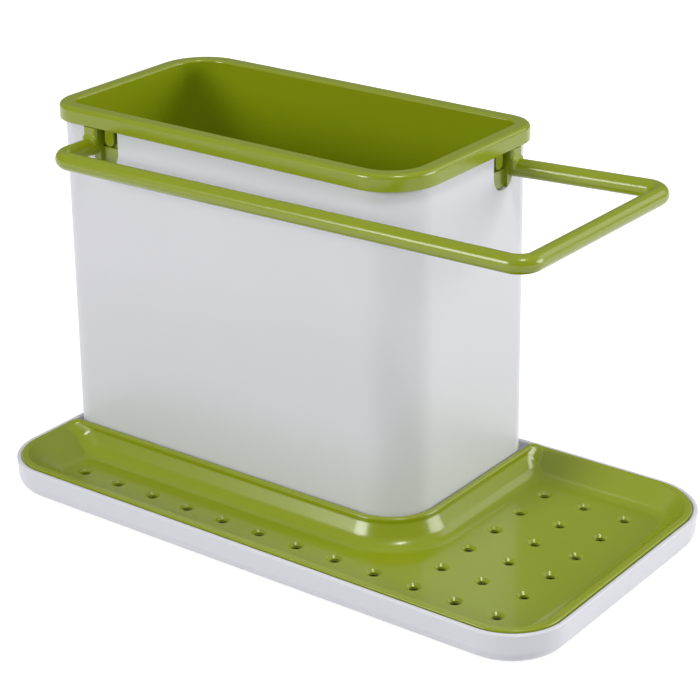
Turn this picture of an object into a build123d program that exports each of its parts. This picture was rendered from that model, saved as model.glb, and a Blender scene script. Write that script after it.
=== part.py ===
"""Kitchen sink caddy: a lift-out bucket with a dishcloth rail, a sponge tray and a pan that catches the water.

Millimetres, +Z up. The origin is under the middle of the pan, on the worktop.
The pan's long side runs along X, and its front, where the sponge strip is, faces -Y.
"""

import os
from math import radians, tan

from build123d import *

# Pan that carries everything
base_length = 210.0
base_width = 114.0
base_height = 12.4
base_corner = 19.4
base_back_corner = 22.0
base_wall = 1.6
base_floor = 1.8
base_lean = 0.6
base_underside_round = 3.4
base_inner_round = 1.0
ledge_width = 1.6
ring_wall = 1.6
ring_height = 5.0
ring_lead_in = 0.6

# Rubber feet
foot_diameter = 12.0
foot_stand = 1.8
foot_recess = 0.8
foot_inset = 24.0
foot_chamfer = 0.6

# White box, bottomless, standing in the back left corner of the pan; a strip in front of it and a block
# on its right stay free for the sponges
strip_width = 35.0
block_length = 67.6
shell_corner = 16.0
shell_side_corner = 9.0
shell_wall = 1.6
shell_lean = 0.6
shell_foot_chamfer = 0.8
shell_left_gap = 0.4
shell_back_gap = 3.6

# Notches in the top edge of the box, one in the front wall and one in the right wall
notch_width = 10.6
notch_depth = 15.6
notch_from_left = 22.0
notch_from_back = 18.2

# Green sponge tray that drops into the pan
pad_flange = 1.6
pad_proud = 0.5
pad_drain_gap = 1.0
pad_wall = 1.6
pad_land = 2.2
pad_slope_run = 6.6
pad_left_slope_run = 12.0
pad_lip_rise = 1.8
pad_lip_width = 2.2
pad_lip_slope_run = 3.6
pad_lip_round = 0.9
pad_end_round = 4.0
pad_corner_play = 2.15
pad_floor_round = 2.0
pad_rim_round = 0.5
hole_diameter = 3.0
hole_dish_diameter = 4.8
hole_dish_angle = 100
hole_pitch = 14.8
hole_row_from_front = 19.3
hole_end_margin = 23.6
hole_back_margin = 20.4
hole_box_margin = 16.7
peg_diameter = 4.0
peg_step = 4
peg_columns = 3
peg_rows = 2

# Green bucket that hangs in the box by its rim
rim_top = 126.0
rim_overhang = 2.0
rim_width = 5.4
rim_plate = 2.6
rim_skirt_drop = 2.7
rim_skirt_wall = 1.3
rim_outer_round = 1.5
rim_inner_round = 0.9
liner_wall = 1.4
liner_floor = 1.8
liner_lift = 9.0
liner_draft = 2.0
liner_foot_round = 4.0
liner_hole_diameter = 5.0
liner_hole_pitch = 18.0
liner_hole_margin = 17.0
flute_margin = 0.4
flute_run = 21.8

# Dishcloth rail and the feet that hold it in the notches
rail_diameter = 5.8
rail_rise = 6.4
rail_bend = 5.5
rail_reach_right = 49.6
rail_reach_front = 17.3
rail_back_splay = 6.9
rail_right_splay = 1.3
rail_front_toe = 4.9
rail_arm_offset = 5.0
riser_depth = 2.0
riser_round = 1.2
neck_start = 1.9
rail_foot_plate = 1.2
rail_foot_overlap = 0.9
post_width = 3.3
post_offset = 1.2
post_drop = 7.5
post_depth = 1.1

# Clearances
slip = 0.3
lip_gap = 0.55
notch_gap = 0.5
seat_gap = 0.1
overrun = 5.0

# Where the pieces stand, worked out from the sizes above
base_left = -base_length / 2
base_front = -base_width / 2
base_back = base_width / 2
base_bottom = foot_stand
floor_top = base_bottom + base_floor

shell_length = base_length - 2 * base_wall - shell_left_gap - block_length
shell_width = base_width - 2 * base_wall - shell_back_gap - strip_width
shell_left = base_left + base_wall + shell_left_gap
shell_right = shell_left + shell_length
shell_back = base_back - base_wall - shell_back_gap
shell_front = shell_back - shell_width
shell_x = (shell_left + shell_right) / 2
shell_y = (shell_front + shell_back) / 2
shell_top = rim_top - rim_plate

wall_right = shell_right - shell_lean
wall_front = shell_front + shell_lean
notch_x = shell_left + notch_from_left
notch_y = shell_back - notch_from_back
notch_bottom = shell_top - notch_depth
rail_height = notch_bottom + rail_rise
rail_left = notch_x - rail_arm_offset
rail_right = wall_right + rail_reach_right
rail_front = wall_front - rail_reach_front
rail_back = notch_y + rail_arm_offset
post_tip = shell_top - post_drop
flute_low = notch_bottom - flute_run
skirt_bottom = shell_top - rim_skirt_drop
foot_top = skirt_bottom - seat_gap
foot_inner = shell_wall + slip + rail_foot_plate

pad_left = base_left + base_wall + slip
pad_right = base_length / 2 - base_wall - slip
pad_front = base_front + base_wall + slip
pad_back = base_back - base_wall - slip
pad_lip_x = shell_right + lip_gap
pad_lip_y = shell_front - lip_gap
pad_corner = base_corner - base_wall - slip
pad_back_corner = base_back_corner - base_wall - slip
# The lip turns a little tighter than the container's corner, so that the tray lifts past it freely
pad_box_corner = shell_corner + lip_gap - pad_corner_play
pad_top = base_height + pad_proud
pad_lip_top = pad_top + pad_lip_rise
pad_floor_top = floor_top + pad_drain_gap + pad_wall
ledge_top = pad_top - pad_flange

# A notch's own plane lies in the wall's outer face: x along the wall, y up, z outwards
right_notch = Plane(origin=(wall_right, notch_y, 0), x_dir=(0, 1, 0), z_dir=(1, 0, 0))
front_notch = Plane(origin=(notch_x, wall_front, 0), x_dir=(1, 0, 0), z_dir=(0, -1, 0))
# The rail's arm leaves each notch on the side away from the loop
notches = ((right_notch, 1), (front_notch, -1))


def u_face(plane, width, bottom, top):
    """U-shaped outline on a notch's plane: a half-round bottom and straight sides."""
    with BuildSketch(plane) as outline:
        with Locations((0, bottom + width / 2)):
            Circle(width / 2)
        with Locations((0, (bottom + width / 2 + top) / 2)):
            Rectangle(width, top - bottom - width / 2)
    return outline.sketch


def pan_face(height, inset):
    """The pan's outline drawn in by an inset; its back corners are larger than its front ones."""
    with BuildSketch(Plane.XY.offset(height)) as section:
        Rectangle(base_length - 2 * inset, base_width - 2 * inset)
        fillet(section.vertices().group_by(Axis.Y)[0], base_corner - inset)
        fillet(section.vertices().group_by(Axis.Y)[-1], base_back_corner - inset)
    return section.sketch


def box_face(height, inset):
    """The container's outline at its foot, drawn in by an inset.

    Its front right and back left corners are wide, the other two are tight.
    """
    corners = (
        ((shell_left, shell_front), shell_side_corner),
        ((shell_right, shell_front), shell_corner),
        ((shell_right, shell_back), shell_side_corner),
        ((shell_left, shell_back), shell_corner),
    )
    with BuildSketch(Plane.XY.offset(height)) as section:
        with Locations((shell_x, shell_y)):
            Rectangle(shell_length - 2 * inset, shell_width - 2 * inset)
        for point, radius in corners:
            fillet(section.vertices().sort_by_distance(point)[0], radius - inset)
    return section.sketch


def ring_face(height, inset, wall):
    """Ring that follows the container's outline, with its outside drawn in by an inset."""
    with BuildSketch(Plane.XY.offset(height)) as section:
        add(box_face(0, inset))
        add(box_face(0, inset + wall), mode=Mode.SUBTRACT)
    return section.sketch


def pad_face(height, side_inset, left_inset, lip_inset):
    """L-shaped section of the sponge tray, drawn in from the pan's wall and from the container."""
    left = pad_left + left_inset
    right = pad_right - side_inset
    front = pad_front + side_inset
    back = pad_back - side_inset
    lip_x = pad_lip_x + lip_inset
    lip_y = pad_lip_y - lip_inset
    corners = (
        ((left, front), pad_corner - side_inset),
        ((right, front), pad_corner - side_inset),
        ((right, back), pad_back_corner - side_inset),
        ((lip_x, back), pad_end_round),
        ((lip_x, lip_y), pad_box_corner + lip_inset),
        ((left, lip_y), pad_end_round),
    )
    with BuildSketch(Plane.XY.offset(height)) as section:
        with BuildLine():
            Polyline(*[point for point, radius in corners], close=True)
        make_face()
        for point, radius in corners:
            fillet(section.vertices().sort_by_distance(point)[0], radius)
    return section.sketch


def lip_face(height):
    """Band of the sponge tray's outline that runs along the container's two walls."""
    corner = (pad_lip_x + pad_lip_width, pad_lip_y - pad_lip_width)
    with BuildSketch(Plane.XY.offset(height)) as band:
        with Locations(corner):
            Rectangle(base_length, base_width, align=(Align.MAX, Align.MIN))
        fillet(band.vertices().sort_by_distance(corner)[0], pad_box_corner + pad_lip_width)
        add(pad_face(0, 0, 0, 0), mode=Mode.INTERSECT)
    return band.sketch


# Pan
with BuildPart() as base_tray:
    loft([pan_face(base_bottom, base_lean), pan_face(base_height, 0)], ruled=True)
    fillet(base_tray.faces().sort_by(Axis.Z)[0].edges(), base_underside_round)
    extrude(pan_face(floor_top, base_wall), amount=base_height - floor_top, mode=Mode.SUBTRACT)
    fillet(base_tray.edges().filter_by_position(Axis.Z, floor_top, floor_top), base_inner_round)
    # Ledge under the sponge tray's flange, along the walls that the container leaves free
    with BuildSketch(Plane.XY.offset(base_bottom + base_floor / 2)):
        add(pan_face(0, base_wall))
        add(pan_face(0, base_wall + ledge_width), mode=Mode.SUBTRACT)
        with Locations((pad_lip_x, pad_lip_y)):
            Rectangle(base_length, base_width, align=(Align.MAX, Align.MIN), mode=Mode.SUBTRACT)
    extrude(amount=ledge_top - base_bottom - base_floor / 2)
    # Upstanding ring that the container slides over
    ring_foot = base_bottom + base_floor / 2
    extrude(ring_face(ring_foot, shell_wall + slip, ring_wall), amount=floor_top + ring_height - ring_foot)
    ring_top = base_tray.edges().filter_by_position(Axis.Z, floor_top + ring_height, floor_top + ring_height)
    chamfer(ring_top, ring_lead_in)
    # Recesses for the feet
    with Locations(Plane.XY.offset(base_bottom)):
        with GridLocations(base_length - 2 * foot_inset, base_width - 2 * foot_inset, 2, 2):
            Cylinder(
                foot_diameter / 2 + seat_gap,
                foot_recess,
                align=(Align.CENTER, Align.CENTER, Align.MIN),
                mode=Mode.SUBTRACT,
            )
base_tray.part.label = "base_tray"
export_step(base_tray.part, "parts/base_tray.step")

# Feet
foot_reach_x = base_length / 2 - foot_inset
foot_reach_y = base_width / 2 - foot_inset
for name, side_x, side_y in (
    ("foot_front_left", -1, -1),
    ("foot_front_right", 1, -1),
    ("foot_back_left", -1, 1),
    ("foot_back_right", 1, 1),
):
    with BuildPart() as foot:
        with BuildSketch(Plane.XY):
            with Locations((side_x * foot_reach_x, side_y * foot_reach_y)):
                Circle(foot_diameter / 2)
        extrude(amount=foot_stand + foot_recess)
        chamfer(foot.edges().group_by(Axis.Z)[0], foot_chamfer)
    foot.part.label = name
    export_step(foot.part, f"parts/{name}.step")

# White box
with BuildPart() as outer_shell:
    loft([box_face(floor_top, 0), box_face(shell_top, shell_lean)], ruled=True)
    chamfer(outer_shell.edges().group_by(Axis.Z)[0], shell_foot_chamfer)
    loft(
        [box_face(floor_top, shell_wall), box_face(shell_top, shell_lean + shell_wall)],
        ruled=True,
        mode=Mode.SUBTRACT,
    )
    for plane, side in notches:
        extrude(
            u_face(plane, notch_width, notch_bottom, shell_top + overrun),
            amount=shell_wall + overrun,
            both=True,
            mode=Mode.SUBTRACT,
        )
outer_shell.part.label = "outer_shell"
export_step(outer_shell.part, "parts/outer_shell.step")

# Sponge tray: the hollow of its dish first, with sloping sides and a rounded foot
with BuildPart() as dish:
    loft(
        [
            pad_face(pad_floor_top, pad_land + pad_slope_run, pad_land + pad_left_slope_run,
                     pad_lip_width + pad_lip_slope_run),
            pad_face(pad_top, pad_land, pad_land, pad_lip_width),
        ],
        ruled=True,
    )
    fillet(dish.edges().group_by(Axis.Z)[0], pad_floor_round)

# Its lip along the container, with a rounded top
with BuildPart() as lip:
    extrude(lip_face(ledge_top), amount=pad_lip_top - ledge_top)
    fillet(lip.edges().group_by(Axis.Z)[-1], pad_lip_round)

with BuildPart() as drip_tray:
    # Under surface: a wall's thickness below and outside the dish
    loft(
        [
            pad_face(pad_floor_top - pad_wall, pad_land + pad_slope_run - pad_wall,
                     pad_land + pad_left_slope_run - pad_wall, 0),
            pad_face(ledge_top, pad_land, pad_land, 0),
        ],
        ruled=True,
    )
    extrude(pad_face(ledge_top, 0, 0, 0), amount=pad_flange)
    add(dish.part, mode=Mode.SUBTRACT)
    fillet(drip_tray.edges().group_by(Axis.Z)[-1], pad_rim_round)
    add(lip.part)
    # Drain holes, each with a dished mouth: one row along the front, and a block on the right
    hole_columns = 1 + round((base_length - 2 * hole_end_margin) / hole_pitch)
    block_columns = 1 + round((base_length / 2 - hole_end_margin - shell_right - hole_box_margin) / hole_pitch)
    block_rows = round((base_width - hole_row_from_front - hole_back_margin) / hole_pitch)
    hole_y = base_front + hole_row_from_front
    block_x = (hole_columns - block_columns) * hole_pitch / 2
    block_y = hole_y + (block_rows + 1) * hole_pitch / 2
    for middle_x, middle_y, columns, rows in (
        (0, hole_y, hole_columns, 1),
        (block_x, block_y, block_columns, block_rows),
    ):
        with Locations((middle_x, middle_y, pad_floor_top)):
            with GridLocations(hole_pitch, hole_pitch, columns, rows):
                CounterSinkHole(hole_diameter / 2, hole_dish_diameter / 2, pad_wall + overrun, hole_dish_angle)
    # Pegs between the holes hold the floor up over the pan
    peg_x = (hole_columns // 2 - hole_columns / 2) * hole_pitch
    block_peg_x = block_x + (block_columns / 2 - block_columns // 2) * hole_pitch
    block_peg_y = block_y + (block_rows // 2 - block_rows / 2) * hole_pitch
    with BuildSketch(Plane.XY.offset(floor_top + seat_gap)):
        with Locations((peg_x, hole_y)):
            with GridLocations(peg_step * hole_pitch, hole_pitch, peg_columns, 1):
                Circle(peg_diameter / 2)
        with Locations((block_peg_x, block_peg_y)):
            with GridLocations(hole_pitch, peg_step // 2 * hole_pitch, 1, peg_rows):
                Circle(peg_diameter / 2)
    extrude(amount=pad_floor_top - pad_wall - floor_top)
drip_tray.part.label = "drip_tray"
export_step(drip_tray.part, "parts/drip_tray.step")

# Bucket: its rim first, a flat plate with a skirt, rounded over outside and in
rim_inset = shell_lean - rim_overhang
opening_inset = rim_inset + rim_width
with BuildPart() as rim:
    extrude(ring_face(shell_top, rim_inset, rim_width), amount=rim_plate)
    fillet(rim.faces().sort_by(Axis.Z)[-1].outer_wire().edges(), rim_outer_round)
    fillet(rim.faces().sort_by(Axis.Z)[-1].inner_wires()[0].edges(), rim_inner_round)
    extrude(ring_face(skirt_bottom, rim_inset, rim_skirt_wall), amount=rim_skirt_drop)

with BuildPart() as liner:
    draft_run = (shell_top - liner_lift) * tan(radians(liner_draft))
    wall_inset = opening_inset - liner_wall
    loft([box_face(liner_lift, wall_inset + draft_run), box_face(shell_top, wall_inset)], ruled=True)
    fillet(liner.edges().group_by(Axis.Z)[0], liner_foot_round)
    # Inside of the bucket
    liner_floor_top = liner_lift + liner_floor
    inner_run = (shell_top - liner_floor_top) * tan(radians(liner_draft))
    loft(
        [box_face(liner_floor_top, opening_inset + inner_run), box_face(shell_top, opening_inset)],
        ruled=True,
        mode=Mode.SUBTRACT,
    )
    inside_edges = liner.edges().filter_by_position(Axis.Z, liner_floor_top, liner_floor_top)
    fillet(inside_edges, liner_foot_round - liner_wall)
    add(rim.part)
    # Shallow flutes that let the walls pass the plates of the rail's feet
    flute_depth = foot_inner + slip
    flute_width = notch_width + 2 * rail_foot_overlap + 2 * flute_margin
    flute_top = foot_top + slip
    for plane, side in notches:
        with BuildSketch(plane.offset(-flute_depth - liner_wall)):
            with Locations((0, flute_low)):
                Rectangle(
                    flute_width + 2 * liner_wall,
                    shell_top - flute_low,
                    align=(Align.CENTER, Align.MIN),
                )
        extrude(amount=liner_wall + slip)
        with BuildSketch(plane.offset(-flute_depth)):
            with Locations((0, flute_low)):
                Rectangle(flute_width, flute_top - flute_low, align=(Align.CENTER, Align.MIN))
        extrude(amount=flute_depth - shell_wall, mode=Mode.SUBTRACT)
    # Posts that drop into the notches in front of the rail's feet
    for plane, side in notches:
        with BuildSketch(plane.offset(-shell_wall)):
            with Locations((-side * post_offset, post_tip + post_width / 2)):
                Circle(post_width / 2)
                Rectangle(
                    post_width,
                    shell_top + rim_plate / 2 - post_tip - post_width / 2,
                    align=(Align.CENTER, Align.MIN),
                )
        extrude(amount=post_depth)
    liner_hole_inset = 2 * (opening_inset + liner_hole_margin)
    liner_hole_columns = 1 + round((shell_length - liner_hole_inset) / liner_hole_pitch)
    liner_hole_rows = 1 + round((shell_width - liner_hole_inset) / liner_hole_pitch)
    with Locations((shell_x, shell_y, liner_floor_top)):
        with GridLocations(liner_hole_pitch, liner_hole_pitch, liner_hole_columns, liner_hole_rows):
            Hole(liner_hole_diameter / 2)
liner.part.label = "liner"
export_step(liner.part, "parts/liner.step")

# Dishcloth rail
with BuildPart() as towel_rail:
    # Round bar, bent three times, with its ends in the two notches
    with BuildLine() as bar_line:
        FilletPolyline(
            (wall_right - shell_wall / 2, rail_back, rail_height),
            (rail_right + rail_right_splay, rail_back + rail_back_splay, rail_height),
            (rail_right, rail_front + rail_front_toe, rail_height),
            (rail_left, rail_front, rail_height),
            (rail_left, wall_front + shell_wall / 2, rail_height),
            radius=rail_bend,
        )
    with BuildSketch(Plane(origin=bar_line.line @ 0, z_dir=bar_line.line % 0)):
        Circle(rail_diameter / 2)
    sweep()
    for plane, side in notches:
        # Riser from the bar up to the bucket's skirt, on a plane whose y points into the box
        riser_plane = Plane(origin=plane.origin + (0, 0, rail_height), x_dir=plane.x_dir, z_dir=(0, 0, 1))
        with BuildSketch(riser_plane):
            with Locations((side * rail_arm_offset, -riser_depth)):
                RectangleRounded(
                    rail_diameter,
                    riser_depth + shell_wall,
                    riser_round,
                    align=(Align.CENTER, Align.MIN),
                )
        extrude(amount=foot_top - rail_height)
        # Nothing of the bar or the riser stays where the wall is
        with BuildSketch(plane.offset(-shell_wall - slip)):
            with Locations((0, rail_height)):
                Rectangle(notch_width + 4 * rail_diameter, 4 * rail_diameter)
            add(
                u_face(Plane.XY, notch_width - 2 * notch_gap, notch_bottom + notch_gap, foot_top),
                mode=Mode.SUBTRACT,
            )
        extrude(amount=shell_wall + 2 * slip, mode=Mode.SUBTRACT)
        # Neck that carries the bar through the notch, beside the bucket's post
        with BuildSketch(plane.offset(-shell_wall - slip)):
            add(u_face(Plane.XY, notch_width - 2 * notch_gap, notch_bottom + notch_gap, foot_top))
            with Locations((side * (neck_start + notch_width / 2), shell_top)):
                Rectangle(notch_width, 2 * notch_depth, mode=Mode.INTERSECT)
        extrude(amount=shell_wall + 2 * slip)
        # Plate behind the wall, wider than the notch
        extrude(
            u_face(
                plane.offset(-foot_inner),
                notch_width + 2 * rail_foot_overlap,
                notch_bottom - rail_foot_overlap,
                foot_top,
            ),
            amount=rail_foot_plate,
        )
towel_rail.part.label = "towel_rail"
export_step(towel_rail.part, "parts/towel_rail.step")
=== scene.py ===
"""Kitchen sink caddy: looks for the pan, the sponge tray, the container, the bucket and the dishcloth rail.

Metres, +Z up. The pan's long side runs along X and its front faces -Y, as in the loaded frame.
"""

from math import cos, pi, radians, sin, tan

import bmesh
import bpy
from bpy.props import FloatProperty, FloatVectorProperty, IntProperty, PointerProperty
from mathutils import Matrix, Vector


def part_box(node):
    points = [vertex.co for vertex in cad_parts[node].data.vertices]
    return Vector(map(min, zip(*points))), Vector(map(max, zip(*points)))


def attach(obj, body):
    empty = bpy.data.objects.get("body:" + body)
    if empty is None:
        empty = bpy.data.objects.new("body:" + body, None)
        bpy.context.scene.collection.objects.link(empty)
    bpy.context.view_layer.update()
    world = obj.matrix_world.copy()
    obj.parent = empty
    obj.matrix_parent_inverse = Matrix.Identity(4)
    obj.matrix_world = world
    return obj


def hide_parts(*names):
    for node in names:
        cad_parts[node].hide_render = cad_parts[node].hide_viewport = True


bl_info = {
    "name": "Kitchen sink caddy",
    "version": (1, 0, 0),
    "blender": (4, 5, 0),
    "location": "3D View > Sidebar > Caddy",
    "description": "Builds a sink caddy with a lift-out bucket, a dishcloth rail and a sponge tray",
    "category": "Add Mesh",
}

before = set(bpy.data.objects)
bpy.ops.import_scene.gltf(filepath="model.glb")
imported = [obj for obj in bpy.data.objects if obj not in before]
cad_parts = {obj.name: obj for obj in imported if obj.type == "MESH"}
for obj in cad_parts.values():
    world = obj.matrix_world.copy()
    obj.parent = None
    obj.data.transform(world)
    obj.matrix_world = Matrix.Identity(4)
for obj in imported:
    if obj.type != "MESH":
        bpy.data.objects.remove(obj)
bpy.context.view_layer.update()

pan_low, pan_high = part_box("base_tray")
box_low, box_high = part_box("outer_shell")
rim_low, rim_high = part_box("liner")
tray_low, tray_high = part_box("drip_tray")


def length(name, description, millimetres):
    """A size that a user can change, given here in millimetres."""
    return FloatProperty(
        name=name, description=description, default=millimetres / 1000, min=0.0, unit="LENGTH", precision=5
    )


def colour(name, description, value):
    return FloatVectorProperty(
        name=name, description=description, default=value, min=0.0, max=1.0, size=3, subtype="COLOR"
    )


def count(name, description, value):
    return IntProperty(name=name, description=description, default=value, min=1)


def share(name, description, value):
    return FloatProperty(name=name, description=description, default=value, min=0.0, max=1.0)


class CaddyPan(bpy.types.PropertyGroup):
    corner: length("Corner", "Radius of the front corners at the rim", 19.4)
    back_corner: length("Back corner", "Radius of the back corners at the rim", 22.0)
    wall: length("Wall", "Thickness of the pan's wall", 1.6)
    floor: length("Floor", "Thickness of the pan's floor", 1.8)
    lean: length("Lean", "How far the wall leans out from foot to rim", 0.6)
    underside_round: length("Underside round", "Radius under the wall", 5.0)
    inner_round: length("Inner round", "Radius inside, between wall and floor", 1.6)
    rim_round: length("Rim round", "Radius of the rim's edges", 0.5)
    ring_height: length("Ring height", "Height of the ring that holds the container, above the floor", 5.0)
    ring_wall: length("Ring wall", "Thickness of that ring", 1.6)


class CaddyFoot(bpy.types.PropertyGroup):
    diameter: length("Diameter", "Diameter of a rubber foot", 12.0)
    height: length("Height", "Height of a foot, with the part that sits in the pan", 2.6)
    edge_round: length("Edge round", "Radius of a foot's lower edge", 0.6)
    inset: length("Inset", "From the pan's edges to a foot's middle", 24.0)


class CaddyTray(bpy.types.PropertyGroup):
    flange: length("Flange", "Thickness of the flange that lies on the pan's ledge", 1.6)
    wall: length("Wall", "Thickness of floor and slopes", 1.6)
    land: length("Land", "Width of the flat rim", 2.2)
    slope: length("Slope", "Width of the sloping sides", 6.6)
    left_slope: length("Left slope", "Width of the slope at the strip's left end", 12.0)
    lip_width: length("Lip width", "Width of the lip along the container", 2.2)
    lip_rise: length("Lip rise", "Height of the lip above the rim", 1.8)
    lip_slope: length("Lip slope", "Width of the slope under the lip", 3.6)
    lip_round: length("Lip round", "Radius of the lip's top edges", 0.9)
    lip_cove: length("Lip cove", "Radius between the lip and the floor", 8.0)
    end_round: length("End round", "Radius of the corners at the lip's two ends", 4.0)
    floor_round: length("Floor round", "Radius between slopes and floor", 6.0)
    floor_height: length("Floor height", "Height of the floor over the worktop", 6.2)
    hole: length("Hole", "Diameter of a drain hole", 3.0)
    dish: length("Dish", "Diameter of a drain hole's dished mouth", 4.8)
    dish_depth: length("Dish depth", "Depth of that mouth", 0.75)
    pitch: length("Pitch", "Distance from hole to hole", 14.8)
    row_from_front: length("Row from front", "From the pan's front to the front row of holes", 19.3)
    columns: count("Columns", "Holes in the front row", 12)
    block_columns: count("Block columns", "Columns of the block of holes", 3)
    block_rows: count("Block rows", "Rows of the block of holes", 5)
    peg: length("Peg", "Diameter of a peg under the floor", 4.0)


class CaddyBox(bpy.types.PropertyGroup):
    corner: length("Corner", "Radius of the front right and back left corners at the foot", 16.0)
    side_corner: length("Side corner", "Radius of the other two corners at the foot", 9.0)
    wall: length("Wall", "Thickness of the container's wall", 1.6)
    lean: length("Lean", "How far each side leans in from foot to top", 0.6)
    edge_round: length("Edge round", "Radius of the top edges", 0.4)
    foot_chamfer: length("Foot chamfer", "Size of the chamfer round the foot", 0.8)
    notch_width: length("Notch width", "Width of a notch for the rail", 10.6)
    notch_depth: length("Notch depth", "Depth of a notch below the top edge", 15.6)
    notch_from_left: length("Notch from left", "From the left side to the front notch", 22.0)
    notch_from_back: length("Notch from back", "From the back to the right notch", 18.2)


class CaddyBucket(bpy.types.PropertyGroup):
    rim_width: length("Rim width", "Width of the rim, from outside to opening", 5.4)
    rim_plate: length("Rim plate", "Thickness of the rim", 2.6)
    skirt_wall: length("Skirt wall", "Thickness of the skirt under the rim's edge", 1.3)
    skirt_drop: length("Skirt drop", "How far the skirt hangs below the rim", 2.7)
    outer_round: length("Outer round", "Radius of the rim's outer edge", 1.5)
    inner_round: length("Inner round", "Radius of the rim's inner edge", 0.9)
    wall: length("Wall", "Thickness of the bucket's wall", 1.4)
    floor: length("Floor", "Thickness of the bucket's floor", 1.8)
    foot_round: length("Foot round", "Radius under the bucket's wall", 4.0)
    draft: FloatProperty(
        name="Draft", description="Lean of the bucket's walls", default=radians(2.0), subtype="ANGLE"
    )
    hole: length("Hole", "Diameter of a hole in the floor", 5.0)
    pitch: length("Pitch", "Distance from hole to hole", 18.0)
    columns: count("Columns", "Holes along the floor", 6)
    rows: count("Rows", "Holes across the floor", 3)
    post_width: length("Post width", "Width of the post that drops into a notch", 3.9)
    post_depth: length("Post depth", "Depth of that post", 1.1)
    post_drop: length("Post drop", "How far it reaches below the container's top edge", 8.7)
    post_offset: length("Post offset", "From the notch's middle to the post's", 1.2)
    flute_run: length("Flute run", "How far the flutes for the rail's feet reach below the notches", 21.8)


class CaddyRail(bpy.types.PropertyGroup):
    diameter: length("Diameter", "Diameter of the bar", 5.8)
    rise: length("Rise", "From a notch's bottom up to the bar's middle", 6.4)
    bend: length("Bend", "Radius of the bar's bends", 5.5)
    reach_right: length("Reach right", "From the container's right wall to the bar", 49.6)
    reach_front: length("Reach front", "From the container's front wall to the bar", 17.3)
    back_splay: length("Back splay", "How far the back arm runs towards the back", 6.9)
    right_splay: length("Right splay", "How far the right run turns out at the back", 1.3)
    front_toe: length("Front toe", "How far the front run turns in", 4.9)
    arm_offset: length("Arm offset", "From a notch's middle to the bar's", 5.0)
    riser_depth: length("Riser depth", "Depth of the riser in front of the wall", 2.0)
    riser_round: length("Riser round", "Radius of the riser's upright edges", 1.2)
    riser_flare: length("Riser flare", "Radius between the riser and the top of the bar", 1.2)
    neck: length("Neck", "From the notch's middle to the neck that carries the bar", 1.9)
    neck_set_back: length("Neck set back", "How far the neck under the post stands back in the notch", 0.9)
    plate: length("Plate", "Thickness of the plate behind the wall", 1.2)
    overlap: length("Overlap", "How far that plate is wider than the notch on each side", 0.9)
    gap: length("Gap", "Clearance round the neck in the notch", 0.5)


class CaddyFinish(bpy.types.PropertyGroup):
    green: colour("Green plastic", "Colour of the tray, the bucket and the rail", (0.268, 0.330, 0.004))
    white: colour("White plastic", "Colour of the pan and the container", (0.735, 0.735, 0.790))
    rubber: colour("Rubber", "Colour of the feet", (0.36, 0.36, 0.35))
    green_roughness: share("Green roughness", "Roughness of the green plastic", 0.24)
    white_roughness: share("White roughness", "Roughness of the white plastic", 0.36)


class CaddyStage(bpy.types.PropertyGroup):
    floor_size: length("Floor size", "Side of the floor", 8000.0)
    lens: FloatProperty(name="Lens", description="Focal length in millimetres", default=111.76, min=1.0)
    roll: FloatProperty(name="Roll", description="Roll of the camera", default=-0.0103, subtype="ANGLE")


GROUPS = {
    "caddy_pan": CaddyPan,
    "caddy_foot": CaddyFoot,
    "caddy_tray": CaddyTray,
    "caddy_box": CaddyBox,
    "caddy_bucket": CaddyBucket,
    "caddy_rail": CaddyRail,
    "caddy_finish": CaddyFinish,
    "caddy_stage": CaddyStage,
}

# Clearances: of pieces that slide, round the container, of pieces that rest, in a flute, and within one piece
SLIP = 0.0003
LIP_GAP = 0.00035
SEAT = 0.0001
FLUTE_GAP = 0.0004
SHY = 0.00004

# Radii of small edges
HAIR = 0.00005
FAINT = 0.0001
CRISP = 0.0002
FINE = 0.0003
EASED = 0.0004
SMALL = 0.0005
SOFT = 0.0006
BROAD = 0.0008

# Steps of a corner seen from above, and of the roundings of a profile and of small parts
ARC_STEPS = 14
ROUND_STEPS = 8
CORNER_STEPS = 6
RISER_STEPS = 12

# Insets at which profiles end in a floor, and how far cutters go past what they cut
INWARDS = 0.03
TRAY_INWARDS = 0.05
PAST_PAN = 0.02
PAST_TOP = 0.01
PAST_WALL = 0.004
PAST_FLOOR = 0.0005

# Angles over which an edge is bevelled and is shaded sharp, in degrees
BEVEL_ANGLE = 40
SHARP_ANGLE = 32

# From here, half an angle in radians counts as a straight line
STRAIGHT = 1.5


# Outlines and lofts


def arc(before, corner, after, radius, steps):
    """Points of the rounding at a corner, the same number whatever the angle."""
    to_before, to_after = before - corner, after - corner
    reach = 0.49 * min(to_before.length, to_after.length)
    a, b = to_before.normalized(), to_after.normalized()
    half = a.angle(b) / 2
    run = min(radius / tan(half), reach) if half < STRAIGHT else min(radius, reach)
    start, end = corner + a * run, corner + b * run
    shares = [i / steps for i in range(steps + 1)]
    if half >= STRAIGHT:
        return [start.lerp(corner, t).lerp(corner.lerp(end, t), t) for t in shares]
    centre = corner + (a + b).normalized() * (run / cos(half))
    from_centre, to_centre = start - centre, end - centre
    turn = from_centre.angle(to_centre)
    turned = [from_centre * sin((1 - t) * turn) + to_centre * sin(t * turn) for t in shares]
    return [centre + spoke / sin(turn) for spoke in turned]


def rounded_path(corners, steps=ROUND_STEPS):
    """A profile's points: its first and last corners only give directions, the others are rounded."""
    points = [Vector(c[:2]) for c in corners]
    path = []
    for i in range(1, len(corners) - 1):
        path += arc(points[i - 1], points[i], points[i + 1], corners[i][2], steps)
    return path


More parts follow.
